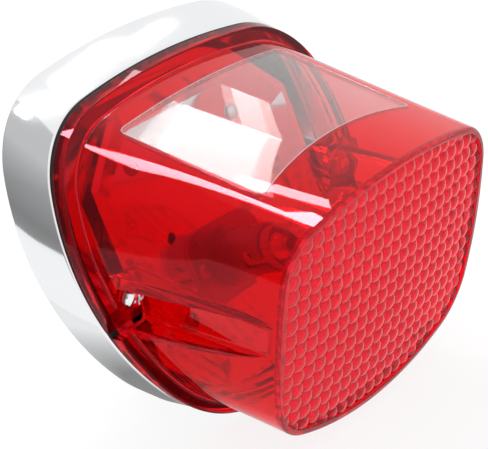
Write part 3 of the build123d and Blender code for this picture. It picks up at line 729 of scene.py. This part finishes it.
stud_radius, stud_ridge, stud_root, stud_neck, stud_end = 3.175, 0.36, 2.75, 2.9, -14.0
head_low, head_high, head_corner = 5.5, 8.9, 6.409
shank = turned([(stud_end, 2.5), (stud_end + 0.4, stud_root), (-1.0, stud_root), (-0.8, stud_radius),
                (0, stud_radius), (shoulder, stud_neck), (head_low, stud_neck)])
threaded(shank, 1.27, stud_radius - stud_ridge, stud_ridge, stud_end + 0.5, 12.0)
hexagon = skin([np.array([(cos(turn) * span, sin(turn) * span, level)
                          for turn in np.arange(6) * pi / 3])
                for level, span in ((head_low, 6.2), (head_low + 0.2, head_corner),
                                     (head_high - 0.3, head_corner), (head_high, 6.1))])
studs = set_out(joined(shank, [hexagon]), stud_spacing, 0.0, 2, 1, 0.0)
finish_piece(studs, "threaded_studs", "base", [zinc], ["mounting_bolts"], 30)

# ---------------------------------------------------------------- reflector and its screws
# A faceted tray of moulded ABS, vacuum-metallised on its front, held on the housing's standoffs
# by four pan-head screws.


def domed(low, radius, height, steps=6):
    """Profile of a domed head that stands on this level; a negative height turns it over."""
    turns = np.arange(steps + 1) / steps * pi / 2
    rise = [(low + height * sin(turn), max(radius * cos(turn), 0.05)) for turn in turns]
    return [(low, radius - 0.05)] + rise


def recess(head, low, high, length, width):
    """Cuts a cross recess into a head that stands along Z, from this level up."""
    combine(head, "DIFFERENCE", [
        skin([np.array([(x * across / 2, y * up / 2, level) for x, y in quarters]) for level in (low, high)])
        for across, up in ((length, width), (width, length))])


# aluminium film on moulded plastic: bright, with the slight waviness of the moulding under it
bright = make_finish("vacuum_metallised_abs", ("e3e4e6", "eeeff0"), 6.0, (0.05, 0.1), 0.03, Metallic=1.0)
dress(["reflector"], bright)
pan_screw = turned([(5.3, pilot_radius), (10.2, pilot_radius), (10.2 + shoulder, 2.65)]
                   + domed(10.25, 2.7, 1.75))
recess(pan_screw, 11.2, 12.5, 2.9, 0.6)
pan_screws = set_out(pan_screw, standoff_across, standoff_up, 2, 2, standoff_middle)
finish_piece(pan_screws, "pan_head_screws", "base", [zinc], ["reflector_screws"], 30)

# ---------------------------------------------------------------- lamp holder
# A drawn steel bayonet shell on a pressed bracket that two domed rivets hold to the reflector.
# Its floor is a laminate disc that carries two brass sleeves and the sprung contacts in them.
dress(["socket_bracket", "socket_shell"], zinc)
rivet = turned(domed(9.4, 2.5, -1.0)[::-1] + [(9.4 + shoulder, 1.5), (11.4 - shoulder, 1.5)]
               + domed(11.4, 2.5, 1.0))
rivets = set_out(rivet, 26.0, 0.0, 2, 1, -22.0)
finish_piece(rivets, "domed_rivets", "base", [zinc], ["socket_rivets"], 30)

# pressed phenolic paper laminate: brown, faintly mottled, satin
phenolic = make_finish("phenolic_laminate", ("5a3018", "7a4726"), 0.6, (0.45, 0.6), 0.02)
dress(["contact_insulator"], phenolic)
# drawn and turned brass: warm yellow, slightly dulled, with fine drawing marks
brass = make_finish("drawn_brass", ("c9a04c", "d8b463"), 2.0, (0.2, 0.35), 0.01, Metallic=1.0)
dress(["contact_sleeves", "contact_buttons"], brass)
# oil-tempered spring wire: mid grey, smooth and a little glossy
spring = make_finish("spring_steel_wire", ("8e9092", "a9abad"), 1.0, (0.25, 0.35), 0.005, Metallic=1.0)
dress(["contact_springs"], spring)

# ---------------------------------------------------------------- bulb
# A two-filament bayonet bulb: blown glass sealed to a plated brass cap, with side pins, a black
# glass seal and two soldered contacts at its base.

# nickel plate on brass: warm grey, softly bright
cap_nickel = make_finish("nickel_plated_brass", ("c8c3b4", "dcd8cc"), 2.0, (0.18, 0.3), 0.01,
                         Metallic=1.0)
dress(["bulb_cap", "bulb_pins"], cap_nickel)
# poured black glass: glossy and nearly featureless
vitrite = make_finish("black_glass_seal", ("0b0b0d", "151518"), 1.0, (0.15, 0.3), 0.01)
dress(["bulb_seal"], vitrite)
# cooled tin solder: pale, slightly grainy and domed
solder = make_finish("tin_solder", ("b3b5b6", "c8cacb"), 0.8, (0.35, 0.5), 0.03, Metallic=1.0)
dress(["bulb_contacts"], solder)
# blown soda-lime glass: colourless, with a very slight ripple
lamp_glass = make_finish("soda_lime_glass", ("fbfcfc", "ffffff"), 12.0, (0.0, 0.01), 0.005,
                         IOR=1.52, Transmission_Weight=1.0)
dress(["bulb_glass", "bulb_stem"], lamp_glass)
# drawn tungsten: dark grey wire with a dull sheen
tungsten = make_finish("tungsten_wire", ("77797c", "8d9092"), 0.5, (0.35, 0.5), 0.003, Metallic=1.0)
dress(["filament_supports", "filament_tail", "filament_brake"], tungsten)

# ---------------------------------------------------------------- connector and leads
# A three-pin inlet of black nylon stands in the housing's floor, with brass pins and three
# PVC-covered leads from the lamp holder: brown for tail, blue for brake and black for ground.

# moulded glass-filled nylon: black, satin, with a fine fibre mottle
nylon = make_finish("glass_filled_nylon", ("121213", "1d1d1f"), 0.8, (0.45, 0.6), 0.02)
dress(["wire_connector"], nylon)
dress(["connector_pins"], brass)
# extruded PVC: even colour with a soft, slightly waxy gloss
for lead, tints in (("lead_tail", ("5a3a22", "6b472b")), ("lead_brake", ("1f3f8c", "2a4da0")),
                    ("lead_ground", ("121213", "1e1e20"))):
    dress([lead], make_finish("pvc_" + lead, tints, 1.5, (0.35, 0.5), 0.02))

# ---------------------------------------------------------------- lens screws and their inserts
# Chromed cross-recess pan-head machine screws at the foot of each channel. They run through the
# lens and its gasket into brass inserts pressed into the housing's bosses.

# nickel and chrome plate on a turned head: near-mirror, with faint turning haze
screw_plate = make_finish("nickel_chrome_screw", ("e6e7e8", "f2f3f4"), 1.5, (0.05, 0.1), 0.003,
                          Metallic=1.0)
screw_tip, thread_root, screw_radius, head_radius = 10.9, 1.8, 2.1, 4.0
for x, body in zip(screw_sides, ("lens_screw_left", "lens_screw_right")):
    screw = turned([(screw_tip, 1.4), (screw_tip + 0.4, thread_root), (21.0, thread_root),
                    (21.3, screw_radius), (screw_seat, screw_radius),
                    (screw_seat + shoulder, head_radius - 0.05)]
                   + domed(screw_seat + 0.2, head_radius, 2.38, 10))
    recess(screw, 26.1, 28.5, 4.2, 0.9)
    threaded(screw, 0.8, 1.85, 0.25, 11.4, 9.6)
    screw.data.transform(Matrix(((1, 0, 0, x), (0, 0, -1, 0), (0, 1, 0, screw_height), (0, 0, 0, 1))))
    finish_piece(screw, body.replace("lens_screw", "chromed_screw"), body,
                 [screw_plate], [body], 30)
dress(["screw_inserts"], brass)

# ---------------------------------------------------------------- floor, lamps and surroundings
# A plain white sweep that keeps the light's soft shadow, and soft boxes round it. The light is
# level: a matt colour renders about as it is written.
floor_rise = 0.130
floor_touch = Vector((0, -0.0331, -0.04945))
floor_reach = 4.0
floor_corners = [floor_touch + floor_reach * Vector((x, y, -y * floor_rise)) for x, y in quarters]
floor_mesh = bpy.data.meshes.new("floor")
floor_mesh.from_pydata(floor_corners, [], [(0, 1, 2, 3)])
floor = bpy.data.objects.new("floor", floor_mesh)
bpy.context.scene.collection.objects.link(floor)
paper = bpy.data.materials.new("white_sweep")
paper.use_nodes = True
tree = paper.node_tree
tree.nodes.clear()
matt = add_node(tree, "ShaderNodeBsdfDiffuse", {}, {"Color": linear("7a7a7a")})
glow = add_node(tree, "ShaderNodeEmission", {}, {"Color": linear("ffffff"), "Strength": 0.85})
lit = add_node(tree, "ShaderNodeAddShader", {}, {0: matt.outputs[0], 1: glow.outputs[0]})
add_node(tree, "ShaderNodeOutputMaterial", {}, {0: lit.outputs[0]})
floor_mesh.materials.append(paper)

world = bpy.data.worlds.new("studio")
bpy.context.scene.world = world
world.use_nodes = True
tree = world.node_tree
tree.nodes.clear()
path = add_node(tree, "ShaderNodeLightPath", {}, {}).outputs
bent = add_node(tree, "ShaderNodeMath", {"operation": "ADD"}, {
    0: path["Is Glossy Ray"], 1: path["Is Transmission Ray"]})
seen = add_node(tree, "ShaderNodeMath", {"operation": "ADD", "use_clamp": True}, {
    0: path["Is Camera Ray"], 1: bent.outputs[0]})
level = add_node(tree, "ShaderNodeMapRange", {}, {
    "Value": seen.outputs[0], "To Min": 0.7, "To Max": 1.0})
sky = add_node(tree, "ShaderNodeBackground", {}, {"Color": linear("ffffff"), "Strength": level.outputs[0]})
add_node(tree, "ShaderNodeOutputWorld", {}, {0: sky.outputs[0]})
lamp_aim = Vector((0, -0.04, 0))


def toward(turn, height):
    """Direction from the light, at this azimuth and elevation in degrees."""
    turn, height = radians(turn), radians(height)
    return Vector((sin(turn) * cos(height), -cos(turn) * cos(height), sin(height)))


def soft_box(name, turn, height, distance, across, up, roll, radiance):
    """Rectangular soft lamp that faces the object from this direction."""
    lamp = bpy.data.lights.new(name, "AREA")
    lamp.shape = "RECTANGLE"
    lamp.size, lamp.size_y = across, up
    lamp.energy = radiance * pi * across * up
    out = toward(turn, height)
    level_axis = Vector((0, 0, 1)).cross(out).normalized()
    up_axis = out.cross(level_axis)
    rolled = level_axis * cos(radians(roll)) + up_axis * sin(radians(roll))
    made = bpy.data.objects.new(name, lamp)
    facing = Matrix((rolled, out.cross(rolled), out)).transposed().to_4x4()
    made.matrix_world = Matrix.Translation(lamp_aim + out * distance) @ facing
    bpy.context.scene.collection.objects.link(made)


soft_box("window_box", 134.3, 44.7, 1.379, 0.424, 0.109, -115.5, 7.0)
soft_box("small_box", 127.4, 34.2, 0.766, 0.03, 0.13, -10.5, 3.5)
soft_box("strip_box", 168.0, 61.5, 1.0, 0.65, 0.05, 0.0, 34.0)
soft_box("corner_box", 134.3, 55.0, 0.524, 0.024, 0.048, -104.8, 20.0)


def card(name, points, centre, along, span, levels):
    """Flat card that shows only in the gloss; its light runs with the distance from its centre."""
    mesh = bpy.data.meshes.new(name)
    mesh.from_pydata(points, [], [(0, 1, 2, 3)])
    made = bpy.data.objects.new(name, mesh)
    bpy.context.scene.collection.objects.link(made)
    finish = bpy.data.materials.new(name)
    finish.use_nodes = True
    tree = finish.node_tree
    tree.nodes.clear()
    place = add_node(tree, "ShaderNodeTexCoord", {}, {})
    beyond = add_node(tree, "ShaderNodeVectorMath", {"operation": "SUBTRACT"}, {
        0: place.outputs["Object"], 1: centre})
    kept = add_node(tree, "ShaderNodeVectorMath", {"operation": "MULTIPLY"}, {
        0: beyond.outputs[0], 1: along})
    far = add_node(tree, "ShaderNodeVectorMath", {"operation": "LENGTH"}, {0: kept.outputs[0]})
    shade = add_node(tree, "ShaderNodeMapRange", {}, {
        "Value": far.outputs["Value"], "From Min": span[0], "From Max": span[1],
        "To Min": levels[0], "To Max": levels[1]})
    glow = add_node(tree, "ShaderNodeEmission", {}, {"Color": linear("ffffff"), "Strength": shade.outputs[0]})
    add_node(tree, "ShaderNodeOutputMaterial", {}, {0: glow.outputs[0]})
    mesh.materials.append(finish)
    made.visible_camera = False
    made.visible_diffuse = False
    made.visible_shadow = False
    return made


wall_facing, wall_distance = toward(-125, 0), 0.5
wall_corners = [toward(*corner) for corner in ((-65, -5), (-65, 34), (-178, 62), (-178, -5))]
card("grey_card", [corner * wall_distance / corner.dot(wall_facing) for corner in wall_corners],
     (0, 0, 0), (0, 0, 1), (0.0, 0.5), (0.25, 0.6))
# painted shadow: a card just over the floor round the object's foot, dim in its middle and brighter outwards,
# that shows only in the gloss, where the chrome reflects it as the shade under the object
shade_middle, shade_reach = Vector((-0.050, -0.024)), 0.055
shade_points = [shade_middle + Vector((x, y)) * shade_reach for x, y in quarters]
floor_shade = card("floor_shade", [
    (x, y, floor_touch.z - (y - floor_touch.y) * floor_rise + 0.0004) for x, y in shade_points],
    (*shade_middle, 0), (1, 1, 0), (0.012, 0.05), (0.28, 0.95))
floor_shade.visible_transmission = False

bpy.context.scene.cycles.max_bounces = 24
bpy.context.scene.cycles.transmission_bounces = 24
bpy.context.scene.cycles.glossy_bounces = 12
view_settings = bpy.context.scene.view_settings
view_settings.view_transform = "Standard"
